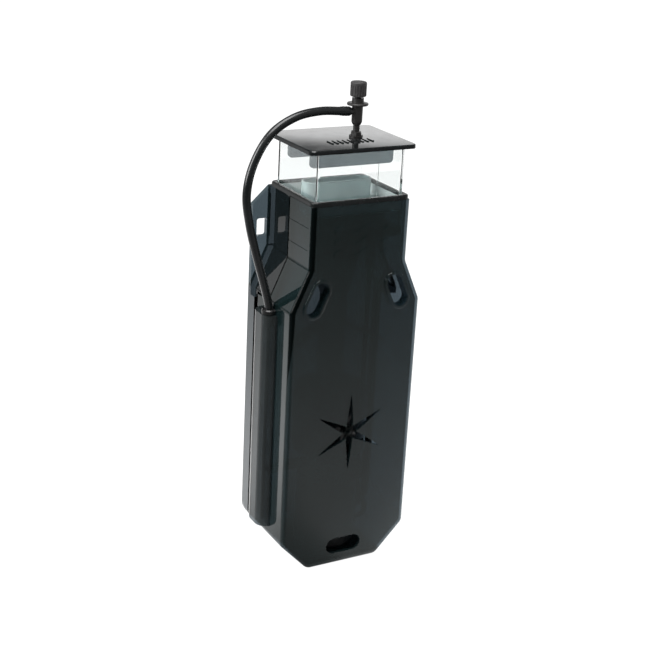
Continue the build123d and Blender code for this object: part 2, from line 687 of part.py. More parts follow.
# ===========================================================================
# Reaction chamber
# ===========================================================================
def build_reaction_chamber():
    """Drum, tower and neck piece inside the shells."""
    wall = 1.8
    drum_r, drum_top = 28.0, 133.0
    tower_w, tower_d, tower_top = 15.0, 14.0, 205.0
    tower_bore_w, tower_bore_d = tower_w - 2 * wall, tower_d - 2 * wall
    plate_z = 256
    spigot_w, spigot_d = RISER_BORE_W - 0.2, RISER_BORE_D - 0.2
    bore_margin = 3.4                        # the mouth's bore, inside the riser's bore
    bore_d = RISER_BORE_D - bore_margin
    inlet_r = 5.05
    deflector_z, deflector_x = 184.0, 42.0

    with BuildPart() as chamber:
        with BuildSketch(over_pump(CHAMBER_Z0)):
            Circle(drum_r)
        extrude(amount=drum_top - CHAMBER_Z0)
        fillet(chamber.faces().sort_by(Axis.Z)[-1].edges(), 3.0)
        # tower, widening to the plate
        with BuildSketch(facing_up(drum_top - 1)):
            Rectangle(tower_w, tower_d)
        extrude(amount=tower_top - drum_top + 1)
        with BuildSketch(facing_up(tower_top)):
            Rectangle(tower_w, tower_d)
        with BuildSketch(facing_up(plate_z, y=RISER_Y)):
            Rectangle(spigot_w, spigot_d)
        loft()
        # top plate that carries the cup, and its spigot
        with BuildSketch(facing_up(plate_z, y=-0.8)):
            RectangleRounded(69.2, 62.8, 1.6)
        extrude(amount=CUP_BOTTOM - plate_z)
        with BuildSketch(facing_up(CUP_BOTTOM - 1, y=RISER_Y)):
            SlotOverall(spigot_w, spigot_d)
        extrude(amount=10)

        # hollow inside: drum, tower, widening part and mouth
        with BuildSketch(over_pump(CHAMBER_Z0 + wall)):
            Circle(drum_r - wall)
        extrude(amount=drum_top - CHAMBER_Z0 - 2 * wall, mode=Mode.SUBTRACT)
        with BuildSketch(facing_up(drum_top - 4)):
            Rectangle(tower_bore_w, tower_bore_d)
        extrude(amount=tower_top - drum_top + 4, mode=Mode.SUBTRACT)
        with BuildSketch(facing_up(tower_top - 0.01)):
            Rectangle(tower_bore_w, tower_bore_d)
        with BuildSketch(facing_up(plate_z + 0.01, y=RISER_Y)):
            Rectangle(RISER_BORE_W - 4.2, bore_d)
        loft(mode=Mode.SUBTRACT)
        with BuildSketch(facing_up(plate_z - 0.1, y=RISER_Y)):
            SlotOverall(RISER_BORE_W - bore_margin, bore_d)
        extrude(amount=30, mode=Mode.SUBTRACT)

        # outlets round the foot of the drum
        with BuildSketch(over_pump(CHAMBER_Z0 + 4)):
            with PolarLocations(drum_r, 10, start_angle=18):
                Rectangle(8, 5)
        extrude(amount=7, mode=Mode.SUBTRACT)
        # inlet for the pump's outlet pipe
        with BuildSketch(over_pump(CHAMBER_Z0 - 1, OUTLET_DX)):
            Circle(inlet_r)
        extrude(amount=5, mode=Mode.SUBTRACT)
        # deflectors that slope down and outwards from the tower
        for side in (1, -1):
            root_x, tip_x = side * (tower_w / 2 - 0.5), side * deflector_x
            with BuildSketch(facing_front(-tower_d / 2)):
                with BuildLine():
                    Polyline((root_x, deflector_z), (tip_x, deflector_z - 17.0),
                             (tip_x, deflector_z - 19.0), (root_x, deflector_z - 2.4),
                             close=True)
                make_face()
            extrude(amount=-tower_d)
    save(chamber, "reaction_chamber")


# ===========================================================================
# Pump in the foot of the body, vertical axis
# ===========================================================================
def build_pump_housing():
    wall = 2.2
    well_wall = 1.4
    entry_r = 2.6
    with BuildPart() as housing:
        with BuildSketch(over_pump(MOTOR_Z0)):
            Circle(MOTOR_R)
        extrude(amount=MOTOR_Z1 - MOTOR_Z0)
        fillet(housing.faces().sort_by(Axis.Z)[0].edges(), 2.5)
        # ring-shaped hollow round the rotor well
        with BuildSketch(over_pump(MOTOR_Z0 + wall)):
            Circle(MOTOR_R - wall)
            Circle(WELL_R + well_wall, mode=Mode.SUBTRACT)
        extrude(amount=MOTOR_Z1 - MOTOR_Z0 - 2 * wall, mode=Mode.SUBTRACT)
        with BuildSketch(over_pump(MOTOR_Z0 + 4.5)):
            Circle(WELL_R)
        extrude(amount=60, mode=Mode.SUBTRACT)
        # cable entry
        with BuildSketch(facing_right(PUMP_X + 10, z=CORD_ENTRY_Z)):
            Circle(entry_r)
        extrude(amount=20, mode=Mode.SUBTRACT)
    save(housing, "pump_housing")


def build_stator_core():
    """Ring with one pole at the front and one at the back."""
    with BuildPart() as core:
        with BuildSketch(over_pump(18)):
            Circle(12.6)
            Circle(WELL_R + 1.5, mode=Mode.SUBTRACT)
            with PolarLocations(15.8, 2, start_angle=90):
                Rectangle(7.0, 9.0)
        extrude(amount=20)
    save(core, "stator_core")


def build_stator_coils():
    """Two coils round the poles, bridged below and above them."""
    coil_dist = 16.4
    coil_t = 5.2
    with BuildPart() as coils:
        with BuildSketch(over_pump(15.5)):
            with PolarLocations(coil_dist, 2, start_angle=90):
                RectangleRounded(coil_t, 18.0, 1.5)
                Rectangle(10.0, 9.1, mode=Mode.SUBTRACT)
        extrude(amount=25)
        with Locations(*[(PUMP_X, PUMP_Y + y, z)
                         for z in (16.6, 39.4) for y in (coil_dist, -coil_dist)]):
            Box(9.2, coil_t, 2.2)
    save(coils, "stator_coils")


def build_rotor_shaft():
    with BuildPart() as shaft:
        with BuildSketch(over_pump(SHAFT_Z0)):
            Circle(SHAFT_R)
        extrude(amount=51.5)
        chamfer(shaft.edges().filter_by(GeomType.CIRCLE), 0.3)
    save(shaft, "rotor_shaft")


def build_lower_bush():
    """Blind bush under the shaft."""
    with BuildPart() as bush:
        with BuildSketch(over_pump(SHAFT_Z0 - 1)):
            Circle(5.0)
        extrude(amount=5)
        with BuildSketch(over_pump(SHAFT_Z0)):
            Circle(SHAFT_R)
        extrude(amount=10, mode=Mode.SUBTRACT)
    save(bush, "lower_bush")


def build_rotor_magnet():
    with BuildPart() as magnet:
        with BuildSketch(over_pump(15.4)):
            Circle(6.6)
        extrude(amount=27)
        fillet(magnet.edges().filter_by(GeomType.CIRCLE), 0.5)
        with BuildSketch(over_pump(15)):
            Circle(SHAFT_HOLE_R)
        extrude(amount=40, mode=Mode.SUBTRACT)
    save(magnet, "rotor_magnet")


def build_needle_wheel():
    """Impeller disc with rings of upright pins."""
    hub_z, hub_r, hub_h = 42.4, 5.0, 12.6
    disc_z, disc_r, disc_t = 46, 15.0, 1.6
    pin_z, pin_r, pin_h = 47.5, 0.8, 8.0
    pin_rings = [(13.4, 12, 0), (10.4, 12, 15), (7.6, 8, 0)]  # (ring radius, count, start angle)
    with BuildPart() as wheel:
        with BuildSketch(over_pump(hub_z)):
            Circle(hub_r)
        extrude(amount=hub_h)
        with BuildSketch(over_pump(disc_z)):
            Circle(disc_r)
        extrude(amount=disc_t)
        with BuildSketch(over_pump(pin_z)):
            for ring_r, count, start in pin_rings:
                with PolarLocations(ring_r, count, start_angle=start):
                    Circle(pin_r)
        extrude(amount=pin_h)
        with BuildSketch(over_pump(42)):
            Circle(SHAFT_HOLE_R)
        extrude(amount=40, mode=Mode.SUBTRACT)
    save(wheel, "needle_wheel")


def build_pump_volute():
    room_r = 18.0
    pipe_r, pipe_bore_r = 5.0, 3.7
    with BuildPart() as volute:
        with BuildSketch(over_pump(MOTOR_Z1)):
            Circle(MOTOR_R)
            Circle(room_r, mode=Mode.SUBTRACT)
        extrude(amount=COVER_Z - MOTOR_Z1)
        with BuildSketch(over_pump(COVER_Z)):
            Circle(MOTOR_R)
            Circle(INTAKE_R, mode=Mode.SUBTRACT)
        extrude(amount=COVER_T)
        # bush carrier: three arms across the intake
        with BuildSketch(over_pump(COVER_Z)):
            Circle(3.4)
            with PolarLocations(4.6, 3, start_angle=30):
                Rectangle(4.0, 1.4)
            Circle(BUSH_R, mode=Mode.SUBTRACT)
        extrude(amount=COVER_T)
        # outlet pipe up into the reaction chamber
        with BuildSketch(over_pump(COVER_Z, OUTLET_DX)):
            Circle(pipe_r)
        extrude(amount=CHAMBER_Z0 - COVER_Z + 8)
        with BuildSketch(over_pump(COVER_Z - 1, OUTLET_DX)):
            Circle(pipe_bore_r)
        extrude(amount=60, mode=Mode.SUBTRACT)
        fillet(volute.faces().filter_by(Axis.Z).sort_by(Axis.Z)[-1].edges(), 0.4)
    save(volute, "pump_volute")


def build_upper_bush():
    with BuildPart() as bush:
        with BuildSketch(over_pump(COVER_Z - 0.4)):
            Circle(BUSH_R)
            Circle(SHAFT_R, mode=Mode.SUBTRACT)
        extrude(amount=COVER_T + 0.4)
    save(bush, "upper_bush")


def build_venturi_tee():
    """Tee on the pump intake: water from the front, air from the left."""
    bottom = COVER_Z + COVER_T
    bore_bottom = COVER_Z + 1
    air_x = PUMP_X - 20.0
    with BuildPart() as tee:
        with BuildSketch(over_pump(bottom)):
            Circle(8.5)
        extrude(amount=AIR_PORT_Z + 7 - bottom)
        with BuildSketch(facing_front(PUMP_Y, PUMP_X, AIR_PORT_Z)):
            Circle(6.8)
        extrude(amount=17.0)
        with BuildSketch(facing_right(air_x, AIR_PORT_Y, AIR_PORT_Z)):
            Circle(2.4)
        extrude(amount=19.0)
        # bores of the three branches
        with BuildSketch(over_pump(bore_bottom)):
            Circle(INTAKE_R)
        extrude(amount=AIR_PORT_Z + 5 - bore_bottom, mode=Mode.SUBTRACT)
        with BuildSketch(facing_front(PUMP_Y, PUMP_X, AIR_PORT_Z)):
            Circle(5.2)
        extrude(amount=30.0, mode=Mode.SUBTRACT)
        with BuildSketch(facing_right(air_x - 1, AIR_PORT_Y, AIR_PORT_Z)):
            Circle(1.3)
        extrude(amount=20.0, mode=Mode.SUBTRACT)
    save(tee, "venturi_tee")


def build_air_link():
    """Silicone link between the side nipple and the tee."""
    outer_r = 4.3
    # (start from the outer side face, length, bore radius)
    lengths = [(3.0, 7.0, 2.95), (10.0, 32.0, 2.45)]
    with BuildPart() as link:
        for start, length, bore_r in lengths:
            with BuildSketch(facing_right(-BODY_HALF_W + start, AIR_PORT_Y, AIR_PORT_Z)):
                Circle(outer_r)
                Circle(bore_r, mode=Mode.SUBTRACT)
            extrude(amount=length)
    save(link, "air_link")


def build_intake_sponge():
    """Foam strainer on the water inlet."""
    with BuildPart() as sponge:
        with BuildSketch(facing_front(-17.3, PUMP_X, AIR_PORT_Z)):
            RectangleRounded(30, 17, 3.0)
        extrude(amount=12.0)
        fillet(sponge.faces().sort_by(Axis.Y)[0].edges(), 1.5)
    save(sponge, "intake_sponge")


def build_pump_feet():
    """Four rubber feet between pump and floor."""
    with BuildPart() as feet:
        with BuildSketch(over_pump(WALL)):
            with PolarLocations(14.0, 4, start_angle=45):
                Circle(4.0)
        extrude(amount=MOTOR_Z0 - WALL)
    save(feet, "pump_feet")


# ===========================================================================
# Power cord
# ===========================================================================
def build_cord_gland():
    """Flange outside the pump housing and sleeve in its cable entry."""
    bore_r = 2.05
    # (start from the pump axis, length, outer radius)
    steps = [(MOTOR_R + 0.3, 3.0, 4.4), (MOTOR_R - 3.4, 4.0, 2.55)]
    with BuildPart() as gland:
        for start, length, outer_r in steps:
            with BuildSketch(facing_right(PUMP_X + start, z=CORD_ENTRY_Z)):
                Circle(outer_r)
                Circle(bore_r, mode=Mode.SUBTRACT)
            extrude(amount=length)
    save(gland, "cord_gland")


def build_power_cord():
    """Cord from the pump to the right, then up along the back."""
    housing_x = PUMP_X + MOTOR_R
    with BuildPart() as cord:
        with BuildLine() as path:
            start = Line((housing_x - 4.5, 0, CORD_ENTRY_Z), (housing_x + 6, 0, CORD_ENTRY_Z))
            bend = Spline(start @ 1, (42.0, 12.0, 24.0), (CORD_X, CORD_Y, 48.0),
                          tangents=[(1, 0, 0), (0, 0, 1)])
            Line(bend @ 1, (CORD_X, CORD_Y, 266.0))
        with BuildSketch(Plane(origin=start @ 0, z_dir=start % 0)):
            Circle(CORD_R)
        sweep(path=path.wires()[0])
    save(cord, "power_cord")


def build_cord_grommet():
    """Grommet that guides the cord out of the right shoulder."""
    with BuildPart() as grommet:
        with BuildSketch(facing_up(213, CORD_X, CORD_Y)):
            Circle(3.9)
            Circle(CORD_R + 0.1, mode=Mode.SUBTRACT)
        extrude(amount=17.0)
    save(grommet, "cord_grommet")


for build in (
    build_front_shell, build_rear_shell_and_neck, build_hanging_wings,
    build_air_channel, build_hose_socket,
    build_rim_seal, build_collection_cup, build_riser_tube, build_lid,
    build_valve_nut, build_valve_washer, build_valve_body, build_valve_needle,
    build_valve_o_ring, build_valve_knob, build_air_hose,
    build_reaction_chamber,
    build_pump_housing, build_stator_core, build_stator_coils, build_rotor_shaft,
    build_lower_bush, build_rotor_magnet, build_needle_wheel, build_pump_volute,
    build_upper_bush, build_venturi_tee, build_air_link, build_intake_sponge, build_pump_feet,
    build_cord_gland, build_power_cord, build_cord_grommet,
):
    build()
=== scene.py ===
"""Smoked acrylic filter: a tall housing, a clear cup and a lid above it, and an air hose.

Metres, +Z up, standing on the floor at z = 0. The front faces -Y and the hose loops out
on the left, towards -X. The CAD pieces are loaded; this script gives them materials,
builds the hose in two lengths and sets up the floor, lights and camera.
"""
import json
import math

import bmesh
import bpy
from mathutils import Matrix, Vector


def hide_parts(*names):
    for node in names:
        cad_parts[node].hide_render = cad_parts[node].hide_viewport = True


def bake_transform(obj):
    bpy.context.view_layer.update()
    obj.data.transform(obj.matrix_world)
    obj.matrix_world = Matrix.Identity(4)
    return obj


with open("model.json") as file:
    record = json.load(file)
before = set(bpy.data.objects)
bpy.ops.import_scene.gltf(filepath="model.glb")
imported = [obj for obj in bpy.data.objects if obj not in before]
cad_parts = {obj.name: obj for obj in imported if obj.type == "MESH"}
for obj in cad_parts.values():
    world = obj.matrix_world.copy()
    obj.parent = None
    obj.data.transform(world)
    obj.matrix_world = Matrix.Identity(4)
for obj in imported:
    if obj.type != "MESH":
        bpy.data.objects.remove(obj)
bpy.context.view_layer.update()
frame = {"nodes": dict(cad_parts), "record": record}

scene = bpy.context.scene


# ---------------------------------------------------------------------------
# node helpers: values may be constants or the output sockets of other nodes
# ---------------------------------------------------------------------------
def feed(tree, socket, value):
    """Link a socket to an output, or set its constant."""
    if isinstance(value, bpy.types.NodeSocket):
        tree.links.new(value, socket)
    else:
        socket.default_value = value


def add_node(tree, kind, inputs=None, **settings):
    """Add a node; inputs are keyed by socket name or index."""
    made = tree.nodes.new("ShaderNode" + kind)
    for key, value in settings.items():
        setattr(made, key, value)
    for key, value in (inputs or {}).items():
        feed(tree, made.inputs[key], value)
    return made


def fresh_tree(owner, output_kind):
    """Empty the node tree of a material or world; return it and its surface input."""
    owner.use_nodes = True
    tree = owner.node_tree
    tree.nodes.clear()
    return tree, add_node(tree, output_kind).inputs["Surface"]


MATERIALS = {}


def new_material(name):
    material = bpy.data.materials.new(name)
    MATERIALS[name] = material
    return fresh_tree(material, "OutputMaterial")


def object_coords(tree):
    return add_node(tree, "TexCoord").outputs["Object"]


def split_xyz(tree, vector):
    return add_node(tree, "SeparateXYZ", {0: vector}).outputs


def noise(tree, scale, detail=3.0, roughness=0.55, stretch=None):
    coords = object_coords(tree)
    if stretch:
        coords = add_node(tree, "Mapping", {"Scale": stretch, "Vector": coords}).outputs["Vector"]
    return add_node(tree, "TexNoise", {"Scale": scale, "Detail": detail,
                                       "Roughness": roughness, "Vector": coords}).outputs["Fac"]


def map_range(tree, value, source, target=(0.0, 1.0), smooth=False):
    """Map the source range of the value to the target range, clamped."""
    settings = {"interpolation_type": "SMOOTHSTEP"} if smooth else {}
    return add_node(tree, "MapRange", {
        "From Min": source[0], "From Max": source[1],
        "To Min": target[0], "To Max": target[1], "Value": value,
    }, **settings).outputs["Result"]


def spread(tree, pattern, low, high):
    """Spread the busy middle of a noise over low..high."""
    return map_range(tree, pattern, (0.35, 0.65), (low, high))


def ramp(tree, pattern, dark, light, stops=(0.3, 0.7)):
    made = add_node(tree, "ValToRGB", {"Fac": pattern})
    for element, stop, color in zip(made.color_ramp.elements, stops, (dark, light)):
        element.position = stop
        element.color = (*color, 1)
    return made.outputs["Color"]


def bump(tree, height, strength, distance):
    return add_node(tree, "Bump", {"Strength": strength, "Distance": distance,
                                   "Height": height}).outputs["Normal"]


def math_node(tree, operation, *operands):
    return add_node(tree, "Math", dict(enumerate(operands)), operation=operation).outputs[0]


def vector_math(tree, operation, *operands, output="Vector"):
    made = add_node(tree, "VectorMath", dict(enumerate(operands)), operation=operation)
    return made.outputs[output]


def lerp(tree, start, end, amount):
    difference = math_node(tree, "SUBTRACT", end, start)
    return math_node(tree, "MULTIPLY_ADD", difference, amount, start)


def mix_shaders(tree, amount, first, second):
    """The first shader at 0, the second at 1."""
    return add_node(tree, "MixShader", {"Fac": amount, 1: first, 2: second}).outputs[0]


# ---------------------------------------------------------------------------
# smoked acrylic
# ---------------------------------------------------------------------------
# Painted shadow line beside the seam, in the gap between the front cover and the rear shell: it
# lies further forward above the step than below it.
SEAM_STEP_Z = (0.2052, 0.2056)
SEAM_Y = (0.0214, 0.0004)             # below the step, above it
SEAM_HALF_WIDTH = (0.0022, 0.0)       # below the step, above it
SEAM_FADE = (0.00065, 0.00100)        # distance over which the line ends

# Vent hub, darkened with painted shade as if deep in its recess: distance from (0, -0.036,
# 0.1085), with depth counted at a fifth.
HUB_SQUASH = (1, 0.2, 1)
HUB_OFFSET = (0, 0.0072, -0.1085)
HUB_FADE = (0.0052, 0.0064)
HUB_OPEN = 0.15                       # how open the film stays inside the hub

# Painted dark reflection along the left edge of the neck and shoulder, on the front face only.
RIM_EDGE_Z = (0.207, 0.237)
RIM_EDGE_X = (0.0525, 0.0390)         # distance left of the axis over those heights
RIM_WIDTH_Z = (0.130, 0.205)
RIM_WIDTH = (-0.0012, 0.0032)
RIM_FADE = (-0.0003, 0.0005)
RIM_OPEN = 0.12
FRONT_FACE_Y = -0.0325

BOTTOM_FADE_Z = (0.0028, 0.0050)
BOTTOM_OPEN = 0.08

# Lid sheet: face slope at which a sawn edge turns into the flat sheet.
EDGE_SLOPE = (0.2, 0.6)
EDGE_GAIN = 1.0
EDGE_FLOOR = 0.0
TABS_TOP_Z = 0.31829
TABS_GAIN = 3.1                       # the thin tabs below that height are clearer


def painted_shade_opening(tree, coords, x, y, z):
    """0 at the painted shadow line beside the seam, low at the painted shade of the hub and the
    painted dark reflection on the left edge, 1 elsewhere.
    """
    # painted shadow line where the cut edge of the front cover meets the rear shell
    line_y = map_range(tree, z, SEAM_STEP_Z, SEAM_Y)
    from_line = math_node(tree, "ABSOLUTE", math_node(tree, "SUBTRACT", y, line_y))
    half_width = map_range(tree, z, SEAM_STEP_Z, SEAM_HALF_WIDTH)
    beyond_line = math_node(tree, "SUBTRACT", from_line, half_width)
    line = map_range(tree, beyond_line, SEAM_FADE, smooth=True)

    # painted shade on the hub of the vent, as if deep in its recess
    from_hub = vector_math(tree, "MULTIPLY_ADD", coords, HUB_SQUASH, HUB_OFFSET)
    hub_distance = vector_math(tree, "LENGTH", from_hub, output="Value")
    hub = map_range(tree, hub_distance, HUB_FADE, (HUB_OPEN, 1.0), smooth=True)

    # painted dark reflection on the rounded left edge
    edge_x = map_range(tree, z, RIM_EDGE_Z, RIM_EDGE_X)
    width = map_range(tree, z, RIM_WIDTH_Z, RIM_WIDTH, smooth=True)
    beyond_rim = math_node(tree, "SUBTRACT", math_node(tree, "ADD", x, edge_x), width)
    rim_painted_reflection = map_range(tree, beyond_rim, RIM_FADE, (RIM_OPEN, 1.0), smooth=True)
    in_front = math_node(tree, "LESS_THAN", y, FRONT_FACE_Y)
    border_painted_reflection = lerp(tree, 1.0, rim_painted_reflection, in_front)

    return math_node(tree, "MULTIPLY", line, math_node(tree, "MULTIPLY", hub, border_painted_reflection))


def edge_opening(tree, edge):
    """Low on the sawn edge of a flat sheet, which is nearly black; high on its thin tabs."""
    normal = add_node(tree, "NewGeometry").outputs["True Normal"]
    slope = math_node(tree, "ABSOLUTE", split_xyz(tree, normal)["Z"])
    flat = map_range(tree, slope, EDGE_SLOPE, (1.0 - edge, 1.0))
    z = split_xyz(tree, object_coords(tree))["Z"]
    in_tabs = math_node(tree, "LESS_THAN", z, TABS_TOP_Z)
    sheet = math_node(tree, "MULTIPLY", flat, EDGE_GAIN)
    tabs = math_node(tree, "MULTIPLY", in_tabs, TABS_GAIN)
    sheet = math_node(tree, "MAXIMUM", sheet, EDGE_FLOOR)
    return math_node(tree, "MAXIMUM", sheet, tabs)


def smoked(name, dark, light, cover, tint, rough=(0.015, 0.045), specular=0.7, stretch=0.25,
           edge=0.0, seam=False):
    """Transparent dark acrylic: each face is a film that covers most of what is behind
    it and tints the rest, polished, with faint moulding waviness, fine wiping marks and
    a little cloudiness. The film closes towards grazing views, as a thick sheet does."""
    tree, surface = new_material(name)
    cloud = noise(tree, scale=22.0)
    base = ramp(tree, cloud, dark, light)
    wipe = noise(tree, scale=120.0, detail=4.0, roughness=0.6, stretch=(1.0, 1.0, 0.10))
    waviness = noise(tree, scale=16.0, detail=1.0, roughness=0.4, stretch=(1.0, 1.0, stretch))
    film = add_node(tree, "BsdfPrincipled", {
        "Base Color": base,
        "Roughness": spread(tree, wipe, *rough),
        "Normal": bump(tree, waviness, strength=0.01, distance=0.004),
        "IOR": 1.5,
        "Specular IOR Level": specular,
    })

    darker_tint = tuple(c * 0.93 for c in tint)
    tint_pattern = noise(tree, scale=9.0, detail=2.0)
    behind = add_node(tree, "BsdfTransparent", {
        "Color": ramp(tree, tint_pattern, darker_tint, tint)})

    grazing = add_node(tree, "LayerWeight", {"Blend": 0.35}).outputs["Facing"]
    closing = map_range(tree, grazing, (0.35, 1.0), (0.0, 0.45), smooth=True)
    seen = math_node(tree, "MULTIPLY",
                     spread(tree, cloud, 1.0 - cover[0], 1.0 - cover[1]),
                     math_node(tree, "SUBTRACT", 1.0, closing))
    # seam adds the painted shadow line, the painted hub shade and the painted dark edge
    # reflection, and closes the thick bottom
    if seam:
        coords = object_coords(tree)
        position = split_xyz(tree, coords)
        outside_painted_shade = painted_shade_opening(tree, coords, position["X"], position["Y"], position["Z"])
        seen = math_node(tree, "MULTIPLY", seen, outside_painted_shade)
        # the thick bottom lets almost nothing through
        bottom = map_range(tree, position["Z"], BOTTOM_FADE_Z, (BOTTOM_OPEN, 1.0), smooth=True)
        seen = math_node(tree, "MULTIPLY", seen, bottom)
        # the painted shadow line, painted hub shade and painted dark edge reflection are also
        # black and without shine
        feed(tree, film.inputs["Specular IOR Level"],
             math_node(tree, "MULTIPLY", outside_painted_shade, specular))
        base_with_painted_shade = add_node(tree, "VectorMath", {0: base, "Scale": outside_painted_shade}, operation="SCALE")
        feed(tree, film.inputs["Base Color"], base_with_painted_shade.outputs[0])
    if edge:
        seen = math_node(tree, "MULTIPLY", seen, edge_opening(tree, edge))
    feed(tree, surface, mix_shaders(tree, seen, film.outputs[0], behind.outputs[0]))


# ---------------------------------------------------------------------------
# clear acrylic
# ---------------------------------------------------------------------------
FOOT_BOTTOM_Z = 0.2740                # the hazy machined foot of the cup
FOOT_TOP_Z = 0.2832
FOOT_HAZE = 0.84


def clear_acrylic(name, tint):
    """Clear cast acrylic, polished; lamps shine through it."""
    tree, surface = new_material(name)
    tone = noise(tree, scale=40.0, detail=2.0)
    wipe = noise(tree, scale=160.0, detail=4.0, roughness=0.6, stretch=(1.0, 1.0, 0.2))
    waviness = noise(tree, scale=60.0, detail=1.5, roughness=0.4)
    polished = add_node(tree, "BsdfPrincipled", {
        "Transmission Weight": 1.0,
        "IOR": 1.49,
        "Base Color": ramp(tree, tone, tuple(c * 0.985 for c in tint), tint),
        "Roughness": spread(tree, wipe, 0.0, 0.01),
        "Normal": bump(tree, waviness, strength=0.01, distance=0.002),
    })
    lit_through = add_node(tree, "BsdfTransparent", {"Color": (*[c * 0.96 for c in tint], 1)})

    z = split_xyz(tree, object_coords(tree))["Z"]
    from_middle = math_node(tree, "SUBTRACT", z, (FOOT_BOTTOM_Z + FOOT_TOP_Z) / 2)
    in_foot = math_node(tree, "LESS_THAN", math_node(tree, "ABSOLUTE", from_middle),
                        (FOOT_TOP_Z - FOOT_BOTTOM_Z) / 2)
    haze_pattern = noise(tree, scale=55.0, detail=4.0)
    haze_amount = math_node(tree, "MULTIPLY", in_foot,
                            spread(tree, haze_pattern, FOOT_HAZE * 0.88, FOOT_HAZE))
    haze = add_node(tree, "BsdfDiffuse", {
        "Color": ramp(tree, tone, (0.70, 0.76, 0.755), (0.76, 0.82, 0.815))})
    body = mix_shaders(tree, haze_amount, polished.outputs[0], haze.outputs[0])

    shadow_ray = add_node(tree, "LightPath").outputs["Is Shadow Ray"]
    feed(tree, surface, mix_shaders(tree, shadow_ray, body, lit_through.outputs[0]))


# ---------------------------------------------------------------------------
# opaque materials
# ---------------------------------------------------------------------------
def grained(name, dark, light, rough=(0.38, 0.55), grain=1500.0, depth=0.00006, strength=0.35,
            sheen=0.0, specular=0.5, blot=60.0):
    """Moulded opaque plastic or rubber with spark-eroded grain, tone variation and
    uneven polish. grain and blot are noise scales; depth is in metres."""
    tree, surface = new_material(name)
    tone = noise(tree, scale=blot, detail=4.0)
    polish = noise(tree, scale=blot * 3.1, detail=4.0)
    fine_grain = noise(tree, scale=grain, detail=2.0, roughness=0.6)
    body = add_node(tree, "BsdfPrincipled", {
        "Base Color": ramp(tree, tone, dark, light, stops=(0.32, 0.68)),
        "Roughness": spread(tree, polish, *rough),
        "Normal": bump(tree, fine_grain, strength, depth),
        "Specular IOR Level": specular,
        "Sheen Weight": sheen,
        "Sheen Roughness": 0.4,
        "Coat Roughness": 0.12,
    })
    feed(tree, surface, body.outputs[0])


def metal(name, dark, light, rough, lines=None, metallic=1.0):
    """Metal with fine grain, or with level lines given as (scale, distortion)."""
    tree, surface = new_material(name)
    tone = noise(tree, scale=120.0, detail=4.0)
    polish = noise(tree, scale=300.0)
    if lines:
        wave = add_node(tree, "TexWave", {
            "Scale": lines[0], "Distortion": lines[1], "Vector": object_coords(tree),
        }, wave_type="BANDS", bands_direction="Z")
        normal = bump(tree, wave.outputs["Fac"], strength=0.6, distance=0.0002)
    else:
        fine_grain = noise(tree, scale=1600.0, detail=2.0)
        normal = bump(tree, fine_grain, strength=0.3, distance=0.00005)
    body = add_node(tree, "BsdfPrincipled", {
        "Base Color": ramp(tree, tone, dark, light),
        "Roughness": spread(tree, polish, *rough),
        "Metallic": metallic,
        "Normal": normal,
    })
    feed(tree, surface, body.outputs[0])


def foam(name, dark, light):
    """Open-celled foam: lighter walls, with painted shade darkening the pores."""
    tree, surface = new_material(name)
    cells = add_node(tree, "TexVoronoi", {"Scale": 650.0, "Vector": object_coords(tree)})
    distance = cells.outputs["Distance"]
    body = add_node(tree, "BsdfPrincipled", {
        "Base Color": ramp(tree, distance, dark, light, stops=(0.15, 0.6)),
        "Roughness": 0.95,
        "Normal": bump(tree, distance, strength=0.9, distance=0.0008),
    })
    feed(tree, surface, body.outputs[0])


# ---------------------------------------------------------------------------
# the materials, in slot order, and which piece wears which
# ---------------------------------------------------------------------------
BLUE = (0.80, 0.92, 1.0)

# seam=True paints the shadow line at the seam, shade on the vent hub and a dark reflection on the
# left edge
smoked("smoked_shell", dark=(0.0050, 0.0125, 0.0120), light=(0.0075, 0.0170, 0.0162),
       cover=(0.69, 0.72), tint=BLUE, seam=True)
smoked("smoked_rear", dark=(0.0045, 0.0065, 0.0065), light=(0.0065, 0.0090, 0.0089),
       cover=(0.78, 0.81), tint=BLUE, seam=True)
smoked("smoked_channel", dark=(0.0160, 0.0200, 0.0200), light=(0.0220, 0.0270, 0.0270),
       cover=(0.62, 0.68), tint=(0.86, 0.95, 1.0))
smoked("smoked_lid", dark=(0.0040, 0.0052, 0.0056), light=(0.0060, 0.0078, 0.0084),
       cover=(0.88, 0.90), tint=(0.84, 0.96, 1.0), stretch=1.0, edge=0.92)
smoked("grey_chamber", dark=(0.0030, 0.0034, 0.0036), light=(0.0055, 0.0060, 0.0062),
       cover=(0.84, 0.88), tint=BLUE, rough=(0.12, 0.22), specular=0.4)
smoked("grey_acrylic", dark=(0.400, 0.490, 0.490), light=(0.475, 0.575, 0.570),
       cover=(0.60, 0.64), tint=(0.86, 0.96, 0.97), rough=(0.06, 0.14), specular=0.6)
clear_acrylic("clear_acrylic", tint=(0.975, 0.992, 0.988))
grained("valve_black", dark=(0.013, 0.0125, 0.0122), light=(0.024, 0.0225, 0.0220),
        rough=(0.30, 0.48), grain=2400.0, depth=0.00005, strength=0.5)
grained("knob_black", dark=(0.019, 0.0180, 0.0180), light=(0.036, 0.0340, 0.0340),
        rough=(0.45, 0.62), grain=2600.0, depth=0.00006, strength=0.6)
grained("seal_rubber", dark=(0.0035, 0.0045, 0.0046), light=(0.0070, 0.0085, 0.0088),
        rough=(0.16, 0.28), grain=900.0, depth=0.00003, strength=0.12)
grained("socket_rubber", dark=(0.005, 0.0055, 0.0055), light=(0.010, 0.0105, 0.0105),
        rough=(0.16, 0.28), grain=1200.0, depth=0.00003, strength=0.2)
grained("hose_silicone", dark=(0.0035, 0.0045, 0.0050), light=(0.0065, 0.0080, 0.0086),
        rough=(0.20, 0.30), grain=700.0, depth=0.00004, strength=0.18, sheen=0.06,
        specular=0.66, blot=45.0)
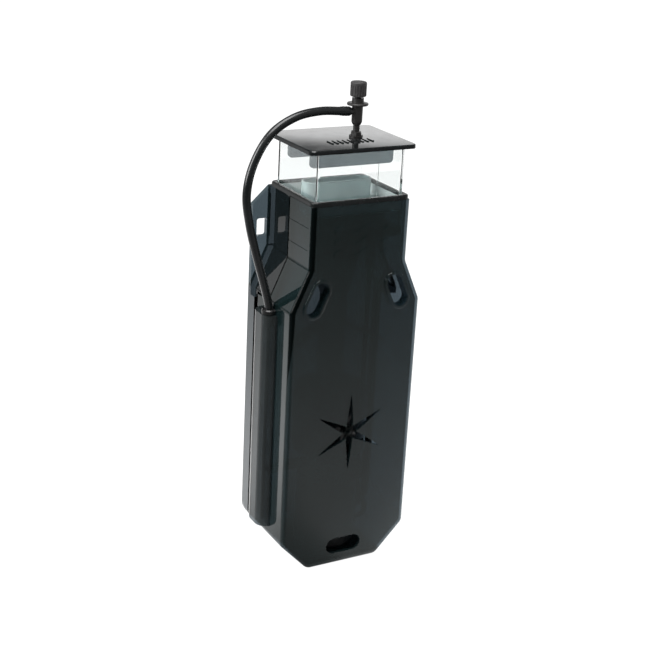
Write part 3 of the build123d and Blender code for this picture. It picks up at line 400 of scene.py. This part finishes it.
grained("pump_black", dark=(0.009, 0.009, 0.009), light=(0.018, 0.018, 0.018), rough=(0.4, 0.6))
grained("cord_jacket", dark=(0.008, 0.008, 0.008), light=(0.014, 0.014, 0.014),
        rough=(0.34, 0.5))
grained("wheel_plastic", dark=(0.66, 0.67, 0.65), light=(0.78, 0.79, 0.77), rough=(0.35, 0.5))
grained("ceramic_shaft", dark=(0.78, 0.77, 0.73), light=(0.88, 0.87, 0.84),
        rough=(0.12, 0.22), grain=3000.0, depth=0.00002)
metal("ferrite_magnet", dark=(0.05, 0.05, 0.052), light=(0.09, 0.09, 0.092),
      rough=(0.5, 0.7), metallic=0.2)
metal("lamination_steel", dark=(0.32, 0.32, 0.33), light=(0.48, 0.48, 0.49),
      rough=(0.35, 0.5), lines=(700.0, 0.2))
metal("copper_winding", dark=(0.55, 0.22, 0.09), light=(0.72, 0.33, 0.15),
      rough=(0.22, 0.35), lines=(420.0, 0.6))
foam("filter_foam", dark=(0.010, 0.010, 0.011), light=(0.05, 0.05, 0.052))

SLOT_OF = {part["node"]: part["material_slot"] for part in frame["record"]["subparts"]}
# the rear pieces are darker than their slot says
MATERIAL_OF = {"rear_shell": "smoked_rear", "rear_neck": "smoked_rear"}


def dress_pieces():
    for name, piece in frame["nodes"].items():
        material = MATERIALS[MATERIAL_OF.get(name, SLOT_OF[name])]
        if not piece.material_slots:
            piece.data.materials.append(material)
        for slot in piece.material_slots:
            slot.material = material


dress_pieces()

# ---------------------------------------------------------------------------
# air hose: two lengths that meet where the loop turns down
# ---------------------------------------------------------------------------
# Centre line in millimetres (x, y, z), from the lid over the loop to the housing.
HOSE_MM = [
    (4.6, -1.5, 340.0), (-4.0, -1.6, 340.6), (-19.5, -2.3, 341.4), (-38.8, -3.2, 338.4),
    (-57.5, -4.3, 328.0), (-70.5, -5.3, 308.5), (-75.6, -6.2, 287.4), (-73.0, -6.8, 266.0),
    (-67.2, -7.0, 243.6), (-61.2, -6.9, 223.8), (-56.6, -6.55, 207.5), (-55.6, -6.5, 201.0),
    (-55.6, -6.5, 195.1),
]
HOSE = [tuple(c / 1000 for c in point) for point in HOSE_MM]
HOSE_TURN = 6                         # the point of HOSE where the two lengths meet
HOSE_CURVE_STEPS = 24                 # curve points per span
HOSE_RING_STEP = 0.0011
HOSE_SEGMENTS = 40
HOSE_OUTER = 0.0030
HOSE_INNER = 0.00236
SHARP_ANGLE = 0.8                     # radians

# Swelling at the lid end, by distance along the hose.
SWELL = 0.00034
SWELL_FADE_START = 0.0062
SWELL_END = 0.0085
RIPPLE = 0.00010
RIPPLE_PITCH = 0.0024
END_ROUNDING = 0.00035
END_ROUNDING_LENGTH = 0.0006


def between(start, end, start_time, end_time, time):
    span = end_time - start_time
    return start * ((end_time - time) / span) + end * ((time - start_time) / span)


def centripetal_curve(points, steps):
    """Centripetal Catmull-Rom curve through the points."""
    points = [Vector(point) for point in points]
    first = points[0] + (points[0] - points[1])
    last = points[-1] + (points[-1] - points[-2])
    points = [first] + points + [last]
    curve_points = []
    for i in range(1, len(points) - 2):
        p0, p1, p2, p3 = points[i - 1:i + 3]
        t0 = 0.0
        t1 = t0 + (p1 - p0).length ** 0.5
        t2 = t1 + (p2 - p1).length ** 0.5
        t3 = t2 + (p3 - p2).length ** 0.5
        for k in range(steps):
            t = t1 + (t2 - t1) * k / steps
            a1 = between(p0, p1, t0, t1, t)
            a2 = between(p1, p2, t1, t2, t)
            a3 = between(p2, p3, t2, t3, t)
            b1 = between(a1, a2, t0, t2, t)
            b2 = between(a2, a3, t1, t3, t)
            curve_points.append(between(b1, b2, t1, t2, t))
    curve_points.append(points[-2])
    return curve_points


def resample(path, step):
    """Points evenly spaced along the path, about one step apart."""
    distances = [0.0]
    for a, b in zip(path, path[1:]):
        distances.append(distances[-1] + (b - a).length)
    count = max(2, int(round(distances[-1] / step)))
    points, j = [], 0
    for i in range(count + 1):
        along = distances[-1] * i / count
        while j < len(distances) - 2 and distances[j + 1] < along:
            j += 1
        fraction = (along - distances[j]) / max(distances[j + 1] - distances[j], 1e-12)
        points.append(path[j].lerp(path[j + 1], fraction))
    return points


def swollen_radius(along):
    """Swollen where it is pushed over the barb, with a soft shoulder behind it."""
    radius = HOSE_OUTER
    if along < SWELL_END:
        past_start = (along - SWELL_FADE_START) / (SWELL_END - SWELL_FADE_START)
        fade = max(0.0, 1.0 - max(0.0, past_start))
        radius += SWELL * fade ** 0.7
        radius += RIPPLE * math.sin(along / RIPPLE_PITCH * 2 * math.pi) * fade
    if along < END_ROUNDING_LENGTH:
        radius -= END_ROUNDING * (1 - along / END_ROUNDING_LENGTH)
    return radius


def plain_radius(_along):
    return HOSE_OUTER


def bridge(bm, ring, next_ring, flip):
    """Quads between two rings of vertices."""
    count = len(ring)
    for k in range(count):
        after = (k + 1) % count
        quad = (ring[k], ring[after], next_ring[after], next_ring[k])
        bm.faces.new(tuple(reversed(quad)) if flip else quad)


def tube(name, path, outer_radius):
    """Closed hose wall; outer_radius gives the radius at a distance along the path."""
    bm = bmesh.new()
    along = 0.0
    normal = Vector((0, 1, 0))
    outer_rings, inner_rings = [], []
    for i, centre in enumerate(path):
        before = path[max(i - 1, 0)]
        after = path[min(i + 1, len(path) - 1)]
        tangent = (after - before).normalized()
        if i:
            along += (centre - before).length
        normal = (normal - tangent * normal.dot(tangent)).normalized()
        sideways = tangent.cross(normal)
        for rings, radius in ((outer_rings, outer_radius(along)), (inner_rings, HOSE_INNER)):
            ring = []
            for k in range(HOSE_SEGMENTS):
                angle = 2 * math.pi * k / HOSE_SEGMENTS
                direction = normal * math.cos(angle) + sideways * math.sin(angle)
                ring.append(bm.verts.new(centre + direction * radius))
            rings.append(ring)
    for rings, flip in ((outer_rings, False), (inner_rings, True)):
        for ring, next_ring in zip(rings, rings[1:]):
            bridge(bm, ring, next_ring, flip)
    bridge(bm, outer_rings[0], inner_rings[0], flip=True)
    bridge(bm, outer_rings[-1], inner_rings[-1], flip=False)
    bmesh.ops.recalc_face_normals(bm, faces=bm.faces)
    for edge in bm.edges:
        if edge.calc_face_angle(0.0) > SHARP_ANGLE:
            edge.smooth = False
    mesh = bpy.data.meshes.new(name)
    bm.to_mesh(mesh)
    bm.free()
    for face in mesh.polygons:
        face.use_smooth = True
    hose = bpy.data.objects.new(name, mesh)
    scene.collection.objects.link(hose)
    return hose


centre_line = resample(centripetal_curve(HOSE, HOSE_CURVE_STEPS), HOSE_RING_STEP)
turn = min(range(len(centre_line)),
           key=lambda i: (centre_line[i] - Vector(HOSE[HOSE_TURN])).length)

upper = tube("air_hose_upper", centre_line[:turn + 1], swollen_radius)
lower = tube("air_hose_lower", centre_line[turn:], plain_radius)
for hose in (upper, lower):
    hose.data.materials.append(MATERIALS["hose_silicone"])
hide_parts("air_hose")
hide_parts("air_hose")
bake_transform(upper)
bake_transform(lower)

# ---------------------------------------------------------------------------
# stage: pale floor, soft surround that is brighter behind than in front
# ---------------------------------------------------------------------------
BRIGHT_DIRECTION = Vector((0.60, 0.80, 0.0))

# Curves of (position, level): position 0 is the dark side in front, 1 the bright side behind.
SKY_LOW = [(0.0, 0.03), (0.15, 0.04), (0.30, 0.11), (0.50, 0.27), (0.70, 0.46), (1.0, 1.0)]
SKY_LOW_GAIN = 1.82
SKY_HIGH = [(0.0, 0.10), (0.40, 0.14), (1.0, 0.06)]
SKY_HIGH_GAIN = 2.0
SKY_STEP = (math.sin(math.radians(11.9)), math.sin(math.radians(12.8)))  # low to high sky
SKY_ON_MATT = 0.85                    # strength for diffuse rays
SKY_SEEN = 1.12                       # strength as the camera sees it

FLOOR_RADIUS = 12.0
FLOOR_SEGMENTS = 96
FLOOR_Z = -0.0004
FLOOR_GLOW = [(0.0, 0.11), (0.08, 0.17), (0.16, 0.26), (0.32, 0.30), (0.50, 0.55),
              (0.70, 0.90), (1.0, 1.0)]
FLOOR_GLOW_GAIN = 3.0
FLOOR_FALLOFF_DISTANCE = 0.45         # the glow halves here
FLOOR_FALLOFF_POWER = 1.5
FLOOR_ON_MATT = 0.70
FLOOR_SEEN = 0.95


def float_curve(tree, value, points, gain):
    """Smooth function through points, drawn in 0..1 on both axes, times gain."""
    made = add_node(tree, "FloatCurve")
    line = made.mapping.curves[0]
    line.points[0].location = points[0]
    line.points[1].location = points[-1]
    for point in points[1:-1]:
        line.points.new(*point)
    made.mapping.update()
    feed(tree, made.inputs["Value"], value)
    return math_node(tree, "MULTIPLY", made.outputs["Value"], gain)


def facing_back(tree, direction):
    """0 towards the dark side in front, 1 towards the bright side behind."""
    flat = vector_math(tree, "MULTIPLY", direction, (1, 1, 0))
    unit = vector_math(tree, "NORMALIZE", flat)
    cosine = vector_math(tree, "DOT_PRODUCT", unit, BRIGHT_DIRECTION, output="Value")
    return math_node(tree, "MULTIPLY_ADD", cosine, 0.5, 0.5)


def seen_straight(tree):
    """1 for what the camera sees directly or through clear parts."""
    rays = add_node(tree, "LightPath").outputs
    return math_node(tree, "MAXIMUM", rays["Is Camera Ray"], rays["Is Transmission Ray"])


def lights_matt(tree):
    """1 for the even light of the white room on matt surfaces."""
    return add_node(tree, "LightPath").outputs["Is Diffuse Ray"]


def build_world():
    """Studio sky: a bright low backdrop behind, dim room above and in front."""
    world = bpy.data.worlds.new("studio")
    scene.world = world
    tree, surface = fresh_tree(world, "OutputWorld")
    direction = add_node(tree, "TexCoord").outputs["Generated"]
    height = split_xyz(tree, direction)["Z"]
    backness = facing_back(tree, direction)
    low = float_curve(tree, backness, SKY_LOW, SKY_LOW_GAIN)
    high = float_curve(tree, backness, SKY_HIGH, SKY_HIGH_GAIN)
    strength = lerp(tree, low, high, map_range(tree, height, SKY_STEP, smooth=True))
    strength = lerp(tree, strength, SKY_ON_MATT, lights_matt(tree))
    strength = lerp(tree, strength, SKY_SEEN, seen_straight(tree))
    background = add_node(tree, "Background", {"Color": (1, 1, 1, 1), "Strength": strength})
    feed(tree, surface, background.outputs[0])


def floor_paper():
    """White paper; its reflected light falls off with distance and towards the camera."""
    tree, surface = new_material("floor_paper")
    position = add_node(tree, "NewGeometry").outputs["Position"]
    side = float_curve(tree, facing_back(tree, position), FLOOR_GLOW, FLOOR_GLOW_GAIN)
    distance = vector_math(tree, "LENGTH", position, output="Value")
    relative = math_node(tree, "DIVIDE", distance, FLOOR_FALLOFF_DISTANCE)
    far = math_node(tree, "POWER", relative, FLOOR_FALLOFF_POWER)
    falloff = math_node(tree, "DIVIDE", 1.0, math_node(tree, "ADD", far, 1.0))
    glow = math_node(tree, "MULTIPLY", side, falloff)
    straight = seen_straight(tree)
    glow = lerp(tree, glow, FLOOR_ON_MATT, lights_matt(tree))
    glow = lerp(tree, glow, FLOOR_SEEN, straight)
    emission = add_node(tree, "Emission", {"Color": (1, 1, 1, 1), "Strength": glow})

    fibres = noise(tree, scale=700.0)
    paper = add_node(tree, "BsdfDiffuse", {
        "Color": ramp(tree, fibres, (0.17, 0.17, 0.17), (0.19, 0.19, 0.19))})
    # other rays get the glow alone
    black = add_node(tree, "BsdfDiffuse", {"Color": (0, 0, 0, 1)})
    matt = mix_shaders(tree, straight, black.outputs[0], paper.outputs[0])
    total = add_node(tree, "AddShader", {0: matt, 1: emission.outputs[0]})
    feed(tree, surface, total.outputs[0])


def build_floor():
    bm = bmesh.new()
    bmesh.ops.create_circle(bm, cap_ends=True, radius=FLOOR_RADIUS, segments=FLOOR_SEGMENTS)
    mesh = bpy.data.meshes.new("floor")
    bm.to_mesh(mesh)
    bm.free()
    floor = bpy.data.objects.new("floor", mesh)
    floor.location = (0, 0, FLOOR_Z)
    scene.collection.objects.link(floor)
    floor_paper()
    floor.data.materials.append(MATERIALS["floor_paper"])


SOFTBOX_TARGET = Vector((0, 0, 0.25))
SOFTBOX_POWER = 9.0


def softbox(name, location, width, height):
    light = bpy.data.lights.new(name, "AREA")
    light.shape = "RECTANGLE"
    light.size = width
    light.size_y = height
    light.energy = SOFTBOX_POWER
    lamp = bpy.data.objects.new(name, light)
    lamp.location = location
    aim = SOFTBOX_TARGET - Vector(location)
    lamp.rotation_euler = aim.to_track_quat("-Z", "Y").to_euler()
    scene.collection.objects.link(lamp)


build_world()
build_floor()
softbox("softbox_top", location=(-0.20, -0.15, 1.15), width=0.7, height=0.7)
softbox("softbox_left", location=(-0.95, 0.10, 0.70), width=0.5, height=0.7)

# ---------------------------------------------------------------------------
# camera: in front and to the left, looking down
# ---------------------------------------------------------------------------
AZIMUTH = math.radians(29.23)         # view direction, turned from +Y towards +X
ELEVATION = math.radians(20.13)
ROLL = math.radians(2.94)
VIEW_CENTRE = Vector((0, 0.001, 0.170))
VIEW_DISTANCE = 0.99832
VIEW_SHIFT_RIGHT = -0.00405
VIEW_SHIFT_UP = 0.00971
SENSOR_WIDTH_MM = 36.0
FOCAL_LENGTH_MM = 74.472369


def build_camera():
    forward = Vector((math.sin(AZIMUTH) * math.cos(ELEVATION),
                      math.cos(AZIMUTH) * math.cos(ELEVATION),
                      -math.sin(ELEVATION)))
    level_right = Vector((math.cos(AZIMUTH), -math.sin(AZIMUTH), 0.0))
    level_up = level_right.cross(forward)
    right = level_right * math.cos(ROLL) + level_up * math.sin(ROLL)
    up = -level_right * math.sin(ROLL) + level_up * math.cos(ROLL)
    location = (VIEW_CENTRE - forward * VIEW_DISTANCE
                + right * VIEW_SHIFT_RIGHT + up * VIEW_SHIFT_UP)
    lens = bpy.data.cameras.new("camera")
    lens.sensor_width = SENSOR_WIDTH_MM
    lens.lens = FOCAL_LENGTH_MM
    lens.clip_start = 0.01
    camera = bpy.data.objects.new("camera", lens)
    rotation = Matrix((right, up, -forward)).transposed()
    camera.matrix_world = Matrix.Translation(location) @ rotation.to_4x4()
    scene.collection.objects.link(camera)
    scene.camera = camera


build_camera()

scene.view_settings.view_transform = "Standard"
scene.view_settings.look = "None"
# many films lie one behind another
scene.cycles.transparent_max_bounces = 48
scene.cycles.max_bounces = 24
scene.cycles.transmission_bounces = 24
scene.cycles.glossy_bounces = 10
